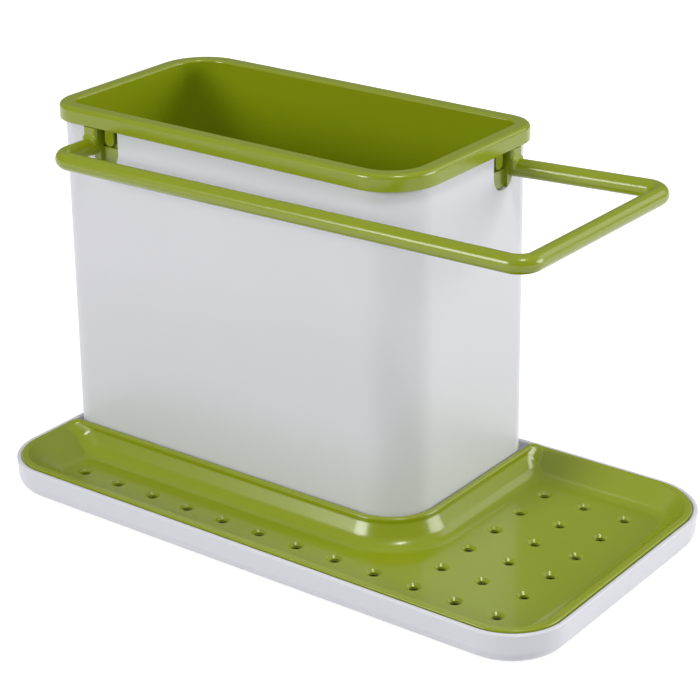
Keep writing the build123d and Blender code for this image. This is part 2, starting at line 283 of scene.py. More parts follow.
def rounded_outline(corners, heights, steps=ARC_STEPS):
    """A closed outline in space, from corners (x, y, radius) and the heights of the sides after them."""
    points = [Vector(c[:2]) for c in corners]
    outline = []
    for i, (_, _, radius) in enumerate(corners):
        low, high = heights[i - 1], heights[i]
        after = points[(i + 1) % len(points)]
        for k, p in enumerate(arc(points[i - 1], points[i], after, radius, steps)):
            t = k / steps
            outline.append(Vector((p.x, p.y, low + (high - low) * t * t * (3 - 2 * t))))
    return outline


def box_loops(low, high, radii, path, shift=0.0):
    """A box's outlines at a path's insets and heights, with radii anticlockwise from the front left."""
    turns = ((0, 0), (1, 0), (1, 1), (0, 1))
    loops = []
    for inset, height in path:
        inset += shift
        ends = (low.x + inset, low.y + inset), (high.x - inset, high.y - inset)
        corners = [(ends[i][0], ends[j][1], max(r - inset, CRISP)) for (i, j), r in zip(turns, radii)]
        loops.append(rounded_outline(corners, [height] * 4))
    return loops


def u_outline(width, bottom, top, steps=2 * ARC_STEPS):
    """A notch's U in its own plane: a half-round bottom and straight sides."""
    radius = width / 2
    turns = [pi + pi * i / steps for i in range(steps + 1)]
    points = [Vector((radius * cos(turn), bottom + radius + radius * sin(turn))) for turn in turns]
    return points + [Vector((radius, top)), Vector((-radius, top))]


def placed(name, data):
    """A new object in the scene."""
    made = bpy.data.objects.new(name, data)
    bpy.context.scene.collection.objects.link(made)
    return made


def new_piece(name, bm):
    """A new object from a bmesh, with its faces outwards."""
    bmesh.ops.remove_doubles(bm, verts=bm.verts, dist=1e-7)
    bmesh.ops.recalc_face_normals(bm, faces=bm.faces)
    mesh = bpy.data.meshes.new(name)
    bm.to_mesh(mesh)
    bm.free()
    return placed(name, mesh)


def lofted(name, loops, closed=False):
    """A new object: quads between loops of equal count, with flat ends unless it closes on itself."""
    bm = bmesh.new()
    rings = [[bm.verts.new(p) for p in loop] for loop in loops]
    size = len(rings[0])
    for low, high in zip(rings, rings[1:] + (rings[:1] if closed else [])):
        for i in range(size):
            j = (i + 1) % size
            bm.faces.new((low[i], low[j], high[j], high[i]))
    if not closed:
        bm.faces.new(list(reversed(rings[0])))
        bm.faces.new(rings[-1])
    return new_piece(name, bm)


def prism(name, outline, place, depths):
    """A flat outline pushed along its normal, between two depths."""
    return lofted(name, [[place @ Vector((p.x, p.y, depth)) for p in outline] for depth in depths])


def block(name, low, high, place):
    """A block in a notch's plane, with a hair's rounding at its corners."""
    (x0, y0, z0), (x1, y1, z1) = low, high
    corners = [(x0, y0, HAIR), (x1, y0, HAIR), (x1, y1, HAIR), (x0, y1, HAIR)]
    return prism(name, rounded_outline(corners, [0.0] * 4, CORNER_STEPS), place, (z0, z1))


def rod(name, radius, height, middle, low, steps=48):
    """An upright round rod."""
    x, y = middle
    turns = [2 * pi * i / steps for i in range(steps)]
    round_line = [(x + radius * cos(turn), y + radius * sin(turn)) for turn in turns]
    return lofted(name, [[Vector((*p, z)) for p in round_line] for z in (low, low + height)])


# Modifiers made into plain meshes


def settle(piece):
    """Turns a piece's modifiers into its plain mesh."""
    shape = piece.evaluated_get(bpy.context.evaluated_depsgraph_get())
    mesh = bpy.data.meshes.new_from_object(shape)
    piece.modifiers.clear()
    old = piece.data
    piece.data = mesh
    bpy.data.meshes.remove(old)
    mesh.name = piece.name


def bevelled(piece, width):
    """The same piece with its sharp edges rounded."""
    bevel = piece.modifiers.new("Rounded edges", "BEVEL")
    bevel.width, bevel.segments = width, 3
    bevel.limit_method, bevel.angle_limit = "ANGLE", radians(BEVEL_ANGLE)
    settle(piece)
    return piece


def combine(piece, operation, *tools):
    """Joins pieces to one, or cuts them from it, and removes them."""
    for tool in tools:
        change = piece.modifiers.new(operation.title(), "BOOLEAN")
        change.operation, change.solver, change.object = operation, "MANIFOLD", tool
        settle(piece)
        mesh = tool.data
        bpy.data.objects.remove(tool)
        bpy.data.meshes.remove(mesh)
    if not piece.data.polygons:
        raise RuntimeError(f"{piece.name} has no faces left after {operation.lower()}")


def finished(piece, material, body, nodes):
    """Smooth shading, material, body, slot and the solids that a piece stands for."""
    mesh = piece.data
    mesh.materials.clear()
    mesh.materials.append(material)
    for face in mesh.polygons:
        face.material_index = 0
    mesh.shade_smooth()
    mesh.set_sharp_from_angle(angle=radians(SHARP_ANGLE))
    even = piece.modifiers.new("Even shading", "WEIGHTED_NORMAL")
    even.keep_sharp, even.weight = True, 60
    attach(piece, body)
    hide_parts(*nodes)


# Node trees


def node(tree, kind, inputs=(), **settings):
    """Adds a node, with its settings and with values or links in its inputs."""
    made = tree.nodes.new(kind)
    for name, value in settings.items():
        setattr(made, name, value)
    for key, value in dict(inputs).items():
        if isinstance(value, bpy.types.NodeSocket):
            tree.links.new(value, made.inputs[key])
        else:
            made.inputs[key].default_value = value
    return made


def maths(tree, operation, first, second=0.0):
    """The result of one Math node."""
    return node(tree, "ShaderNodeMath", {0: first, 1: second}, operation=operation).outputs[0]


def sockets(tree, way, kind, *labels):
    """Inputs or outputs of one kind on a tree's interface."""
    for label in labels:
        tree.interface.new_socket(label, in_out=way, socket_type="NodeSocket" + kind)


def geometry_tree(name, counts, sizes):
    """A Geometry Nodes tree with a mesh in and out, a material, and inputs for the named counts and sizes."""
    tree = bpy.data.node_groups.new(name, "GeometryNodeTree")
    sockets(tree, "INPUT", "Geometry", "Geometry")
    sockets(tree, "INPUT", "Int", *counts)
    sockets(tree, "INPUT", "Float", *sizes)
    sockets(tree, "INPUT", "Material", "Material")
    sockets(tree, "OUTPUT", "Geometry", "Geometry")
    return tree, tree.nodes.new("NodeGroupInput").outputs


def close_tree(tree, shape, given):
    """The end of every tree: real geometry with its material."""
    real = node(tree, "GeometryNodeRealizeInstances", {0: shape})
    made = node(tree, "GeometryNodeSetMaterial", {"Geometry": real.outputs[0], "Material": given["Material"]})
    node(tree, "NodeGroupOutput", {0: made.outputs[0]})
    for i, each in enumerate(tree.nodes):
        each.location = (180 * (i % 8), -160 * (i // 8))


def run_tree(piece, tree, values):
    """Runs a tree on a piece, with its inputs set by identifier, and keeps the plain mesh."""
    change = piece.modifiers.new(tree.name, "NODES")
    change.node_group = tree
    for item in tree.interface.items_tree:
        if item.item_type == "SOCKET" and item.in_out == "INPUT" and item.name in values:
            change[item.identifier] = values[item.name]
    settle(piece)


def points_piece(name, points, edges=()):
    """A new object of bare points, or of points and edges, for a tree to build on."""
    mesh = bpy.data.meshes.new(name)
    mesh.from_pydata(points, edges, [])
    return placed(name, mesh)


def perforation_tree():
    """Cuts a grid of round holes with dished mouths into the mesh that it gets."""
    sizes = (
        "Pitch", "Middle X", "Middle Y", "Floor Height", "Hole Diameter", "Mouth Diameter", "Mouth Depth",
        "Through",
    )
    tree, given = geometry_tree("Perforation", ("Columns", "Rows"), sizes)
    pitch, depth = given["Pitch"], given["Mouth Depth"]
    across, along = given["Columns"], given["Rows"]
    spread_x = maths(tree, "MULTIPLY", maths(tree, "SUBTRACT", across, 1), pitch)
    spread_y = maths(tree, "MULTIPLY", maths(tree, "SUBTRACT", along, 1), pitch)
    size = {"Size X": spread_x, "Size Y": spread_y, "Vertices X": across, "Vertices Y": along}
    grid = node(tree, "GeometryNodeMeshGrid", size)
    middle = {"X": given["Middle X"], "Y": given["Middle Y"], "Z": given["Floor Height"]}
    place = node(tree, "ShaderNodeCombineXYZ", middle)
    move = {"Geometry": grid.outputs[0], "Translation": place.outputs[0]}
    centres = node(tree, "GeometryNodeTransform", move).outputs[0]
    hole_radius = maths(tree, "DIVIDE", given["Hole Diameter"], 2)
    mouth_radius = maths(tree, "DIVIDE", given["Mouth Diameter"], 2)
    flare = maths(tree, "DIVIDE", maths(tree, "SUBTRACT", mouth_radius, hole_radius), depth)
    top_radius = maths(tree, "ADD", mouth_radius, maths(tree, "MULTIPLY", flare, PAST_FLOOR))
    cone_height = maths(tree, "ADD", depth, PAST_FLOOR)
    flared = {"Vertices": 36, "Radius Top": top_radius, "Radius Bottom": hole_radius, "Depth": cone_height}
    cone = node(tree, "GeometryNodeMeshCone", flared).outputs
    down = node(tree, "ShaderNodeCombineXYZ", {"Z": maths(tree, "MULTIPLY", given["Through"], -1)})
    push = {"Mesh": cone["Mesh"], "Selection": cone["Bottom"], "Offset": down.outputs[0]}
    push |= {"Offset Scale": 1.0, "Individual": False}
    drill = node(tree, "GeometryNodeExtrudeMesh", push, mode="FACES").outputs["Mesh"]
    sink = node(tree, "ShaderNodeCombineXYZ", {"Z": maths(tree, "MULTIPLY", depth, -1)})
    sunk = node(tree, "GeometryNodeTransform", {"Geometry": drill, "Translation": sink.outputs[0]}).outputs[0]
    cutters = node(tree, "GeometryNodeInstanceOnPoints", {"Points": centres, "Instance": sunk})
    real = node(tree, "GeometryNodeRealizeInstances", {0: cutters.outputs[0]})
    bodies = {"Mesh 1": given["Geometry"], "Mesh 2": real.outputs[0]}
    cut = node(tree, "GeometryNodeMeshBoolean", bodies, operation="DIFFERENCE", solver="MANIFOLD")
    close_tree(tree, cut.outputs["Mesh"], given)
    return tree


def foot_tree():
    """A round pad with a rounded lower edge on each point that it gets."""
    tree, given = geometry_tree("Round feet", (), ("Diameter", "Height", "Edge Round"))
    radius = maths(tree, "DIVIDE", given["Diameter"], 2)
    steps = {"Vertices": 56, "Side Segments": 12, "Fill Segments": 1}
    pad = node(tree, "GeometryNodeMeshCylinder", {**steps, "Radius": radius, "Depth": given["Height"]})
    position = node(tree, "GeometryNodeInputPosition").outputs[0]
    axes = node(tree, "ShaderNodeSeparateXYZ", {0: position}).outputs
    above = maths(tree, "ADD", axes["Z"], maths(tree, "DIVIDE", given["Height"], 2))
    down = maths(tree, "DIVIDE", maths(tree, "SUBTRACT", given["Edge Round"], above), given["Edge Round"])
    down = node(tree, "ShaderNodeClamp", {"Value": down}).outputs[0]
    level = maths(tree, "SQRT", maths(tree, "SUBTRACT", 1.0, maths(tree, "MULTIPLY", down, down)))
    drawn_in = maths(tree, "MULTIPLY", maths(tree, "SUBTRACT", 1.0, level), given["Edge Round"])
    scale = maths(tree, "SUBTRACT", 1.0, maths(tree, "DIVIDE", drawn_in, radius))
    shrink = node(tree, "ShaderNodeCombineXYZ", {"X": scale, "Y": scale, "Z": 1.0})
    moved = node(tree, "ShaderNodeVectorMath", {0: position, 1: shrink.outputs[0]}, operation="MULTIPLY")
    shape = {"Geometry": pad.outputs["Mesh"], "Position": moved.outputs[0]}
    shaped = node(tree, "GeometryNodeSetPosition", shape).outputs[0]
    feet = node(tree, "GeometryNodeInstanceOnPoints", {"Points": given["Geometry"], "Instance": shaped})
    close_tree(tree, feet.outputs[0], given)
    return tree


def bar_tree():
    """A round bar along the edges that it gets, with its corners bent to one radius."""
    tree, given = geometry_tree("Bent bar", (), ("Diameter", "Bend"))
    line = node(tree, "GeometryNodeMeshToCurve", {0: given["Geometry"]})
    bend = {"Curve": line.outputs[0], "Radius": given["Bend"], "Count": 20, "Limit Radius": True}
    bent = node(tree, "GeometryNodeFilletCurve", bend, mode="POLY")
    radius = maths(tree, "DIVIDE", given["Diameter"], 2)
    section = node(tree, "GeometryNodeCurvePrimitiveCircle", {"Resolution": 40, "Radius": radius})
    sweep = {"Curve": bent.outputs[0], "Profile Curve": section.outputs[0], "Fill Caps": True}
    close_tree(tree, node(tree, "GeometryNodeCurveToMesh", sweep).outputs[0], given)
    return tree


# Materials

WHITE = (1.0, 1.0, 1.0, 1.0)
CHANGES = "Colour Change", "Gloss Change", "Flow Size", "Grain Size", "Grain Share"


def moulded_group():
    """Small changes of colour, gloss and height that every moulded piece of the caddy shows."""
    tree = bpy.data.node_groups.new("Moulded surface", "ShaderNodeTree")
    sockets(tree, "INPUT", "Color", "Colour")
    sockets(tree, "INPUT", "Float", "Roughness", *CHANGES)
    sockets(tree, "OUTPUT", "Color", "Colour")
    sockets(tree, "OUTPUT", "Float", "Roughness", "Height")
    given = tree.nodes.new("NodeGroupInput").outputs
    place = node(tree, "ShaderNodeTexCoord").outputs["Object"]

    def noise(scale, detail, roughness):
        values = {"Vector": place, "Scale": scale, "Detail": detail, "Roughness": roughness}
        return node(tree, "ShaderNodeTexNoise", values).outputs[0]

    flow = noise(given["Flow Size"], 3.0, 0.5)
    cloud = noise(maths(tree, "MULTIPLY", given["Flow Size"], 6.0), 4.0, 0.6)
    grain = noise(given["Grain Size"], 2.0, 0.5)
    centred = maths(tree, "SUBTRACT", flow, 0.5)
    factor = maths(tree, "ADD", 1.0, maths(tree, "MULTIPLY", centred, given["Colour Change"]))
    scaled = node(tree, "ShaderNodeVectorMath", {0: given["Colour"], "Scale": factor}, operation="SCALE")
    gloss = maths(tree, "MULTIPLY", maths(tree, "SUBTRACT", cloud, 0.5), given["Gloss Change"])
    clamped = node(tree, "ShaderNodeClamp", {"Value": maths(tree, "ADD", given["Roughness"], gloss)})
    height = maths(tree, "ADD", flow, maths(tree, "MULTIPLY", grain, given["Grain Share"]))
    result = {"Colour": scaled.outputs[0], "Roughness": clamped.outputs[0], "Height": height}
    node(tree, "NodeGroupOutput", result)
    return tree


def bare_tree(owner):
    """The emptied node tree of a material or a world."""
    owner.use_nodes = True
    owner.node_tree.nodes.clear()
    return owner.node_tree


def surface(name, colour, roughness, changes, bump, **shader):
    """A material of the caddy: the shared surface group, with values for CHANGES, in front of a shader."""
    material = bpy.data.materials.new(name)
    tree = bare_tree(material)
    detail = tree.nodes.new("ShaderNodeGroup")
    detail.node_tree = bpy.data.node_groups.get("Moulded surface") or moulded_group()
    detail.inputs["Colour"].default_value = (*colour, 1.0)
    detail.inputs["Roughness"].default_value = roughness
    for label, value in zip(CHANGES, changes):
        detail.inputs[label].default_value = value
    given = detail.outputs
    relief = node(tree, "ShaderNodeBump", {"Height": given["Height"], "Strength": 1.0, "Distance": bump})
    look = {key.replace("_", " "): value for key, value in shader.items()}
    look |= {"Base Color": given["Colour"], "Roughness": given["Roughness"], "Normal": relief.outputs[0]}
    plastic = node(tree, "ShaderNodeBsdfPrincipled", look)
    node(tree, "ShaderNodeOutputMaterial", {"Surface": plastic.outputs[0]})
    return material


def finish(name):
    """The caddy's materials, each made when it is first asked for."""
    made = bpy.data.materials.get(name)
    if made:
        return made
    look = bpy.context.scene.caddy_finish
    if name == "Green plastic":
        changes, bump = (0.10, 0.08, 14.0, 1400.0, 0.05), 0.00012
        coat = {"Coat_Weight": 0.25, "Coat_Roughness": 0.06}
        return surface(name, look.green, look.green_roughness, changes, bump, IOR=1.5, **coat)
    if name == "White plastic":
        changes, bump = (0.03, 0.10, 10.0, 1600.0, 0.08), 0.00010
        coat = {"Coat_Weight": 0.15, "Coat_Roughness": 0.18}
        return surface(name, look.white, look.white_roughness, changes, bump, IOR=1.5, **coat)
    changes, bump = (0.12, 0.15, 60.0, 2400.0, 0.9), 0.00006
    return surface(name, look.rubber, 0.8, changes, bump, IOR=1.45)


def perforate(piece, middle, grid, values):
    """Cuts a grid of holes into a piece of green plastic."""
    tree = bpy.data.node_groups.get("Perforation") or perforation_tree()
    places = {"Middle X": middle[0], "Middle Y": middle[1], "Columns": grid[0], "Rows": grid[1]}
    run_tree(piece, tree, {**values, **places, "Material": finish("Green plastic")})


# Places that more than one piece needs


def box_corners(outset=0.0):
    """Radii of the container's corners, anticlockwise from the front left, moved outwards by an outset."""
    box = bpy.context.scene.caddy_box
    return [radius + outset for radius in (box.side_corner, box.corner, box.side_corner, box.corner)]


def foot_places():
    """Middles of the four rubber feet, seen from above."""
    inset = bpy.context.scene.caddy_foot.inset
    (left, front), (right, back) = (v + inset for v in pan_low.xy), (v - inset for v in pan_high.xy)
    return [(x, y) for x in (left, right) for y in (front, back)]


def pan_loops(path):
    """The pan's outlines at a path's insets and heights."""
    pan = bpy.context.scene.caddy_pan
    return box_loops(pan_low, pan_high, (pan.corner, pan.corner, pan.back_corner, pan.back_corner), path)


def notch_places():
    """Each notch's plane in the container's outer face, z outwards, and the side of the rail's arm."""
    box = bpy.context.scene.caddy_box
    right = Matrix.Translation((box_high.x - box.lean, box_high.y - box.notch_from_back, 0.0))
    front = Matrix.Translation((box_low.x + box.notch_from_left, box_low.y + box.lean, 0.0))
    facing_right = Matrix(((0, 0, 1, 0), (1, 0, 0, 0), (0, 1, 0, 0), (0, 0, 0, 1)))
    facing_front = Matrix(((1, 0, 0, 0), (0, 0, -1, 0), (0, 1, 0, 0), (0, 0, 0, 1)))
    return (right @ facing_right, 1), (front @ facing_front, -1)


def rail_feet_depth():
    """How far the rail's feet reach behind the container's outer face."""
    scene = bpy.context.scene
    return scene.caddy_box.wall + SLIP + scene.caddy_rail.plate


def rail_feet_top():
    """Height of the rail's feet, just under the skirt of the bucket's rim."""
    bucket = bpy.context.scene.caddy_bucket
    return rim_high.z - bucket.rim_plate - bucket.skirt_drop - SEAT


class CADDY_OT_pan(bpy.types.Operator):
    """Build the white pan with its ledge and the ring that holds the container"""

    bl_idname = "caddy.pan"
    bl_label = "Pan"

    def execute(self, context):
        scene = context.scene
        pan, foot, box = scene.caddy_pan, scene.caddy_foot, scene.caddy_box
        floor = pan_low.z + pan.floor
        rim = pan_high.z
        profile = rounded_path(
            [
                (INWARDS, pan_low.z), (pan.lean, pan_low.z, pan.underside_round), (0.0, rim, pan.rim_round),
                (pan.wall, rim, pan.rim_round), (pan.wall, floor, pan.inner_round), (INWARDS, floor),
            ]
        )
        piece = lofted("pan", pan_loops(profile))
        # Ledge for the sponge tray's flange, left out where the container stands
        ledge_top = tray_high.z - scene.caddy_tray.lip_rise - scene.caddy_tray.flange
        root = floor - pan.floor / 2
        inside, step = pan.wall / 2, 2 * pan.wall
        ledge_path = ((inside, root), (inside, ledge_top), (step, ledge_top), (step, root))
        ledge = lofted("ledge", pan_loops(ledge_path), closed=True)
        # The ledge stays under the pan's skin, also where the underside is rounded
        skin = pan.wall / 5
        under = pan_low.z + skin
        core_path = rounded_path(
            [
                (INWARDS, under), (pan.lean + skin, under, pan.underside_round - skin), (skin, rim, CRISP),
                (INWARDS, rim),
            ]
        )
        combine(ledge, "INTERSECT", lofted("core", pan_loops(core_path)))
        left, back = pan_low.x - PAST_PAN, pan_high.y + PAST_PAN
        right, front = box_high.x + LIP_GAP, box_low.y - LIP_GAP
        ground = [(left, front), (right, front), (right, back), (left, back)]
        clear = lofted("clear", [[Vector((x, y, z)) for x, y in ground] for z in (0.0, PAST_PAN)])
        combine(ledge, "DIFFERENCE", clear)
        ring_top, width = floor + pan.ring_height, pan.ring_wall
        ring_path = rounded_path(
            [
                (0.0, root - PAST_TOP), (0.0, root, HAIR), (0.0, ring_top, SOFT), (width, ring_top, SOFT),
                (width, root, HAIR), (width, root - PAST_TOP),
            ],
            3,
        )
        ring_loops = box_loops(box_low, box_high, box_corners(), ring_path, box.wall + SLIP)
        combine(piece, "UNION", ledge, lofted("ring", ring_loops, closed=True))
        radius = foot.diameter / 2 + SEAT
        sockets = [rod("socket", radius, foot.height + SEAT, middle, -SEAT) for middle in foot_places()]
        combine(piece, "DIFFERENCE", *sockets)
        finished(piece, finish("White plastic"), "pan", ["base_tray"])
        return {"FINISHED"}


class CADDY_OT_feet(bpy.types.Operator):
    """Build the four rubber feet under the pan"""

    bl_idname = "caddy.feet"
    bl_label = "Feet"

    def execute(self, context):
        foot = context.scene.caddy_foot
        piece = points_piece("rubber_feet", [(x, y, foot.height / 2) for x, y in foot_places()])
        rubber = finish("Pale rubber")
        values = {"Diameter": foot.diameter, "Height": foot.height, "Edge Round": foot.edge_round}
        run_tree(piece, foot_tree(), {**values, "Material": rubber})
        nodes = ["foot_front_left", "foot_front_right", "foot_back_left", "foot_back_right"]
        finished(piece, rubber, "pan", nodes)
        return {"FINISHED"}


class CADDY_OT_sponge_tray(bpy.types.Operator):
    """Build the green sponge tray with its lip, its slopes, its drain holes and its pegs"""

    bl_idname = "caddy.sponge_tray"
    bl_label = "Sponge tray"

    def outline(self, tray, side, left, lip, corner, back_corner):
        """A closed line round the tray, from insets and heights at the pan's sides, its left and the lip."""
        x0, x1 = tray_low.x + left.x, tray_high.x - side.x
        y0, y1 = tray_low.y + side.x, tray_high.y - side.x
        lip_x, lip_y = box_high.x + LIP_GAP + lip.x, box_low.y - LIP_GAP - lip.x
        least = 0.001
        outer, back = max(corner - side.x, least), max(back_corner - side.x, least)
        corners = [
            (x0, y0, outer), (x1, y0, outer), (x1, y1, back), (lip_x, y1, tray.end_round),
            (lip_x, lip_y, bpy.context.scene.caddy_box.corner + LIP_GAP + lip.x), (x0, lip_y, tray.end_round),
        ]
        return rounded_outline(corners, [side.y, side.y, side.y, lip.y, lip.y, left.y])

    def execute(self, context):
        scene = context.scene
        tray, pan = scene.caddy_tray, scene.caddy_pan
        lip_top = tray_high.z
        rim = lip_top - tray.lip_rise
        under, floor = tray.floor_height - tray.wall, tray.floor_height
        ledge = rim - tray.flange
        under_round, lip_foot_round = 0.003, 0.0014
        width = tray.lip_width

        def slope(run):
            foot = tray.land + run
            return rounded_path(
                [
                    (TRAY_INWARDS, under), (foot - tray.wall, under, under_round), (tray.land, ledge, EASED),
                    (0.0, ledge, CRISP), (0.0, rim, SMALL), (tray.land, rim, BROAD),
                    (tray.land + run / 2, (rim + floor) / 2, SOFT), (foot, floor, tray.floor_round),
                    (TRAY_INWARDS, floor),
                ]
            )

        lip = rounded_path(
            [
                (TRAY_INWARDS, under), (0.0, under, BROAD), (0.0, under + under_round, EASED),
                (0.0, ledge, CRISP), (0.0, lip_top, tray.lip_round), (width, lip_top, tray.lip_round),
                (width, rim, lip_foot_round), (width + tray.lip_slope, floor, tray.lip_cove),
                (TRAY_INWARDS, floor),
            ]
        )
        play = pan.wall + SLIP
        loops = [
            self.outline(tray, side, left, lip_point, pan.corner - play, pan.back_corner - play)
            for side, left, lip_point in zip(slope(tray.slope), slope(tray.left_slope), lip)
        ]
        piece = lofted("sponge_tray", loops)
        row_y = pan_low.y + tray.row_from_front
        block_x = (tray.columns - tray.block_columns) * tray.pitch / 2
        block_y = row_y + (tray.block_rows + 1) * tray.pitch / 2
        peg_low = pan_low.z + pan.floor + SEAT
        pegs = [(-4 * tray.pitch, row_y), (0.0, row_y), (4 * tray.pitch, row_y)]
        pegs += [(block_x + tray.pitch / 2, block_y + step * tray.pitch / 2) for step in (-3, 1)]
        rods = [rod("peg", tray.peg / 2, under - peg_low + tray.wall / 2, peg, peg_low, 32) for peg in pegs]
        combine(piece, "UNION", *rods)
        values = {
            "Pitch": tray.pitch, "Floor Height": floor, "Through": 2 * tray.wall, "Hole Diameter": tray.hole,
            "Mouth Diameter": tray.dish, "Mouth Depth": tray.dish_depth,
        }
        perforate(piece, (0.0, row_y), (tray.columns, 1), values)
        perforate(piece, (block_x, block_y), (tray.block_columns, tray.block_rows), values)
        finished(piece, finish("Green plastic"), "sponge_tray", ["drip_tray"])
        return {"FINISHED"}


class CADDY_OT_container(bpy.types.Operator):
    """Build the white container with its two notches"""

    bl_idname = "caddy.container"
    bl_label = "Container"

    def execute(self, context):
        box = context.scene.caddy_box
        low, top = box_low.z, box_high.z
        start = 0.001
        path = rounded_path(
            [
                (start, low), (box.foot_chamfer, low, FAINT), (0.0, low + box.foot_chamfer, FINE),
                (box.lean, top, box.edge_round), (box.lean + box.wall, top, box.edge_round),
                (box.wall, low, CRISP), (start, low),
            ],
            4,
        )
        piece = lofted("container", box_loops(box_low, box_high, box_corners(), path), closed=True)
        outline = u_outline(box.notch_width, top - box.notch_depth, top + PAST_TOP)
        depths = (-box.wall - PAST_WALL, PAST_WALL)
        cutters = [prism("notch", outline, place, depths) for place, _ in notch_places()]
        combine(piece, "DIFFERENCE", *cutters)
        finished(piece, finish("White plastic"), "container", ["outer_shell"])
        return {"FINISHED"}


class CADDY_OT_bucket(bpy.types.Operator):
    """Build the green bucket with its rim and skirt, its posts, its flutes and its perforated floor"""

    bl_idname = "caddy.bucket"
    bl_label = "Bucket"

    def execute(self, context):
        scene = context.scene
        bucket, box, rail = scene.caddy_bucket, scene.caddy_box, scene.caddy_rail
        middle = (rim_low + rim_high) / 2
        top, low = rim_high.z, rim_low.z
        shelf = top - bucket.rim_plate
        skirt = shelf - bucket.skirt_drop
        lean = tan(bucket.draft)
        outside = bucket.rim_width - bucket.wall
        floor = low + bucket.floor
        profile = rounded_path(
            [
                (INWARDS, low), (outside + (shelf - low) * lean, low, bucket.foot_round),
                (outside, shelf, SOFT), (bucket.skirt_wall, shelf, FINE),
                (bucket.skirt_wall, skirt, FINE), (0.0, skirt, FINE),
                (0.0, top, bucket.outer_round), (bucket.rim_width, top, bucket.inner_round),
                (bucket.rim_width + (shelf - floor) * lean, floor, bucket.foot_round - bucket.wall),
                (INWARDS, floor),
            ],
            CORNER_STEPS,
        )
        radii = box_corners(box_low.x - rim_low.x)
        piece = lofted("bucket", box_loops(rim_low, rim_high, radii, profile))
        # Flutes that let the walls pass the plates of the rail's feet, and the posts in front of those feet
        depth = rail_feet_depth() + SLIP
        half = box.notch_width / 2 + rail.overlap + FLUTE_GAP
        flute_low = box_high.z - box.notch_depth - bucket.flute_run
        flute_top = rail_feet_top() + SLIP
        edge, sunk = half + bucket.wall, 0.0005
        for place, side in notch_places():
            bump_low = (-edge, flute_low, -depth - bucket.wall)
            bump = block("bump", bump_low, (edge, shelf + sunk, -depth + SLIP), place)
            flute = block("flute", (-half, flute_low, -depth), (half, flute_top, -box.wall), place)
            combine(piece, "UNION", bump)
            combine(piece, "DIFFERENCE", flute)
            across = Vector((-side * bucket.post_offset, 0.0))
            tip_low, tip_high = box_high.z - bucket.post_drop, shelf + bucket.rim_plate / 2
            tip = u_outline(bucket.post_width, tip_low, tip_high, 20)
            depths = (-box.wall, -box.wall + bucket.post_depth)
            post = prism("post", [p + across for p in tip], place, depths)
            combine(piece, "UNION", bevelled(post, FINE))
        mouth, mouth_depth = bucket.hole + 0.001, 0.0004
        values = {
            "Pitch": bucket.pitch, "Floor Height": floor, "Through": 2 * bucket.floor,
            "Hole Diameter": bucket.hole, "Mouth Diameter": mouth, "Mouth Depth": mouth_depth,
        }
        perforate(piece, middle.xy, (bucket.columns, bucket.rows), values)
        finished(piece, finish("Green plastic"), "bucket", ["liner"])
        return {"FINISHED"}


